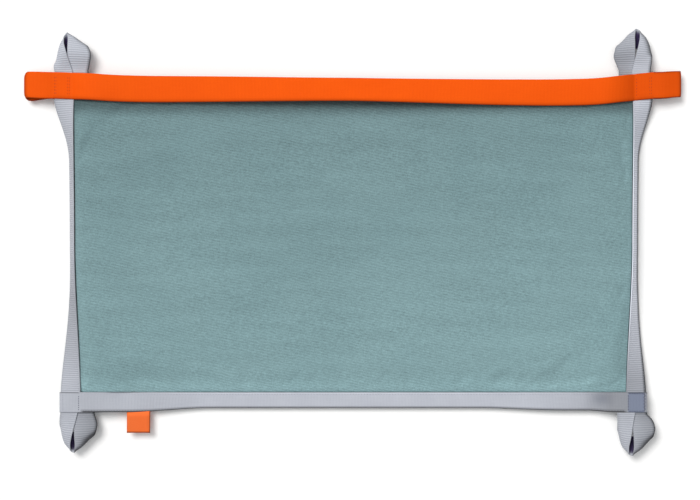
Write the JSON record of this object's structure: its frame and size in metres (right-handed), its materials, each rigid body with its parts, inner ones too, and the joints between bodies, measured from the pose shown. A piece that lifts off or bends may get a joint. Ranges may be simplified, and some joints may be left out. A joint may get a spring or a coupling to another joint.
{
  "type": "flat boat fender",
  "caption": "Flat padded boat fender with a cloth cover, webbing corner loops and an orange carry strap.",
  "frame": {"origin": "on the flat back face, at the middle of the pad", "axes": "+X along the pad's long side towards the right end, +Y towards the carry strap, +Z out of the padded front"},
  "size_m": [0.9869, 0.6416, 0.0517],
  "materials": {
    "foam": "matt closed-cell foam",
    "canvas": "matt woven canvas",
    "grey_webbing": "matt ribbed webbing",
    "orange_webbing": "matt ribbed webbing",
    "orange_label": "matt coated cloth"
  },
  "bodies": {
    "fender": {"foam_core": "foam", "cover_front": "canvas", "cover_back": "canvas", "side_webbing_left": "grey_webbing", "side_webbing_right": "grey_webbing", "bottom_webbing": "grey_webbing", "strap_anchor_left": "orange_webbing", "strap_anchor_right": "orange_webbing", "strap_tail_left": "orange_webbing", "strap_tail_right": "orange_webbing", "loop_tail_top_left": "grey_webbing", "loop_tail_top_right": "grey_webbing", "loop_tail_bottom_left": "grey_webbing", "loop_tail_bottom_right": "grey_webbing"},
    "handle": {"handle_strap": "orange_webbing"},
    "top_left_loop": {"loop_top_left": "grey_webbing"},
    "top_right_loop": {"loop_top_right": "grey_webbing"},
    "bottom_left_loop": {"loop_bottom_left": "grey_webbing"},
    "bottom_right_loop": {"loop_bottom_right": "grey_webbing"},
    "left_end_loop": {"end_loop_left": "orange_webbing"},
    "right_end_loop": {"end_loop_right": "orange_webbing"},
    "label": {"side_label": "orange_label"}
  },
  "joints": [
    {"name": "handle_swing", "type": "hinge", "parent": "fender", "child": "handle", "pos_m": [0, 0.2352, 0.038], "axis": [1, 0, 0], "range_deg": [-110, 0]},
    {"name": "top_left_fold", "type": "hinge", "parent": "fender", "child": "top_left_loop", "pos_m": [-0.4215, 0.2565, 0.018], "axis": [1, 0, 0], "range_deg": [-45, 90], "stiffness_Nm_per_rad": 0.05},
    {"name": "top_right_fold", "type": "hinge", "parent": "fender", "child": "top_right_loop", "pos_m": [0.4215, 0.2565, 0.018], "axis": [1, 0, 0], "range_deg": [-45, 90], "stiffness_Nm_per_rad": 0.05},
    {"name": "bottom_left_fold", "type": "hinge", "parent": "fender", "child": "bottom_left_loop", "pos_m": [-0.4215, -0.2563, 0.018], "axis": [-1, 0, 0], "range_deg": [-45, 90], "stiffness_Nm_per_rad": 0.05},
    {"name": "bottom_right_fold", "type": "hinge", "parent": "fender", "child": "bottom_right_loop", "pos_m": [0.4215, -0.2563, 0.0203], "axis": [-1, 0, 0], "range_deg": [-45, 90], "stiffness_Nm_per_rad": 0.05},
    {"name": "left_end_fold", "type": "hinge", "parent": "fender", "child": "left_end_loop", "pos_m": [-0.4515, 0.2352, 0.0198], "axis": [0, 1, 0], "range_deg": [-40, 90], "stiffness_Nm_per_rad": 0.05},
    {"name": "right_end_fold", "type": "hinge", "parent": "fender", "child": "right_end_loop", "pos_m": [0.4515, 0.2352, 0.0198], "axis": [0, -1, 0], "range_deg": [-40, 90], "stiffness_Nm_per_rad": 0.05},
    {"name": "label_fold", "type": "hinge", "parent": "fender", "child": "label", "pos_m": [-0.322, -0.25536, 0.01467], "axis": [-1, 0, 0], "range_deg": [-45, 90]}
  ]
}
